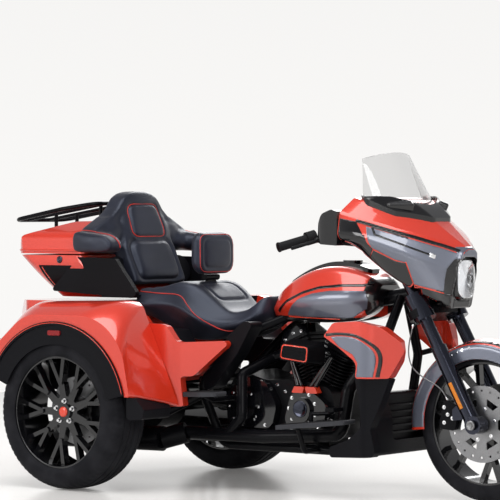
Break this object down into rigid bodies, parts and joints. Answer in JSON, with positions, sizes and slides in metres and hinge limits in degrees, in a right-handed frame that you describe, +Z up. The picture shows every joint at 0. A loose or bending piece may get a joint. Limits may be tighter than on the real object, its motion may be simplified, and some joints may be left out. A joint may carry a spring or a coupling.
{
  "type": "touring trike motorcycle",
  "caption": "Three-wheel touring motorcycle with a fork-mounted fairing and windshield, V-twin engine, two-level saddle, rear body over a wheel pair, and a lidded luggage box.",
  "frame": {"origin": "floor under the middle of the vehicle's length and width", "axes": "+X forward along the vehicle, +Y to the rider's left, +Z up"},
  "size_m": [2.6599, 1.361, 1.3735],
  "materials": {
    "tyre": "matt tread rubber",
    "black_gloss": "gloss black",
    "steel": "ground steel",
    "black_satin": "satin black",
    "amber_lens": "clear amber",
    "paint": "orange-red metallic gloss",
    "grey_paint": "grey metallic gloss",
    "grip_rubber": "ribbed rubber",
    "trim_plastic": "fine grain",
    "gloss_trim": "gloss black",
    "screen_glass": "smoked clear",
    "lamp_glass": "clear lens over bright bowl",
    "cast_black": "wrinkle black",
    "tappet_paint": "bright orange-red",
    "leather": "black stitched",
    "red_lens": "clear red",
    "mat_grey": "ribbed"
  },
  "bodies": {
    "chassis": {"air_cleaner": "cast_black", "arch_trims": "trim_plastic", "backrest_post": "black_satin", "board_brackets": "black_satin", "body_guards": "trim_plastic", "box_cheeks": "trim_plastic", "chin_covers": "trim_plastic", "engine_case": "cast_black", "engine_covers": "black_gloss", "engine_cylinders": "cast_black", "exhaust": "black_satin", "foot_pedals": "black_satin", "footboards": "mat_grey", "frame": "black_satin", "fuel_tank": "paint", "lower_fairings": "paint", "luggage_box": "paint", "passenger_backrest": "leather", "rear_axle": "black_satin", "rear_calipers": "black_satin", "rear_fenders": "paint", "rear_lamps": "red_lens", "rear_suspension": "black_satin", "rider_backrest": "leather", "seat": "leather", "side_panels": "paint", "speaker_pods": "trim_plastic", "tank_console": "gloss_trim", "tappet_blocks": "tappet_paint", "trunk_body": "paint", "valve_gear": "black_gloss"},
    "steering": {"fork_legs": "black_satin", "fork_covers": "black_gloss", "fork_yokes": "black_satin", "fork_reflectors": "amber_lens", "front_fender": "grey_paint", "front_calipers": "black_satin", "handlebar": "black_satin", "hand_controls": "grip_rubber", "mirrors": "gloss_trim", "fairing_shell": "paint", "fairing_inner": "trim_plastic", "dash_units": "trim_plastic", "headlamp": "lamp_glass", "windshield": "screen_glass", "windshield_vents": "trim_plastic"},
    "front_wheel": {"front_tyre": "tyre", "front_rim": "black_gloss", "front_discs": "steel"},
    "rear_wheel_right": {"rear_tyre_right": "tyre", "rear_rim_right": "black_gloss", "rear_disc_right": "steel"},
    "rear_wheel_left": {"rear_tyre_left": "tyre", "rear_rim_left": "black_gloss", "rear_disc_left": "steel"},
    "box_lid": {"luggage_lid": "paint", "luggage_rack": "black_satin"},
    "boot_door": {"trunk_door": "paint"}
  },
  "joints": [
    {"name": "steering", "type": "hinge", "parent": "chassis", "child": "steering", "pos_m": [0.71906, 0, 0.82], "axis": [-0.4384, 0, 0.8988], "range_deg": [-28, 28]},
    {"name": "front_wheel_spin", "type": "hinge", "parent": "steering", "child": "front_wheel", "pos_m": [1.02, 0, 0.31], "axis": [0, 1, 0], "continuous": true},
    {"name": "rear_wheel_right_spin", "type": "hinge", "parent": "chassis", "child": "rear_wheel_right", "pos_m": [-0.65, -0.555, 0.318], "axis": [0, 1, 0], "continuous": true},
    {"name": "rear_wheel_left_spin", "type": "hinge", "parent": "chassis", "child": "rear_wheel_left", "pos_m": [-0.65, 0.555, 0.318], "axis": [0, 1, 0], "continuous": true},
    {"name": "box_lid_hinge", "type": "hinge", "parent": "chassis", "child": "box_lid", "pos_m": [-1.019, 0.296, 0.954], "axis": [-1, 0, 0], "range_deg": [0, 75]},
    {"name": "boot_door_hinge", "type": "hinge", "parent": "chassis", "child": "boot_door", "pos_m": [-1.194, 0, 0.7], "axis": [0, 1, 0], "range_deg": [0, 75]}
  ]
}
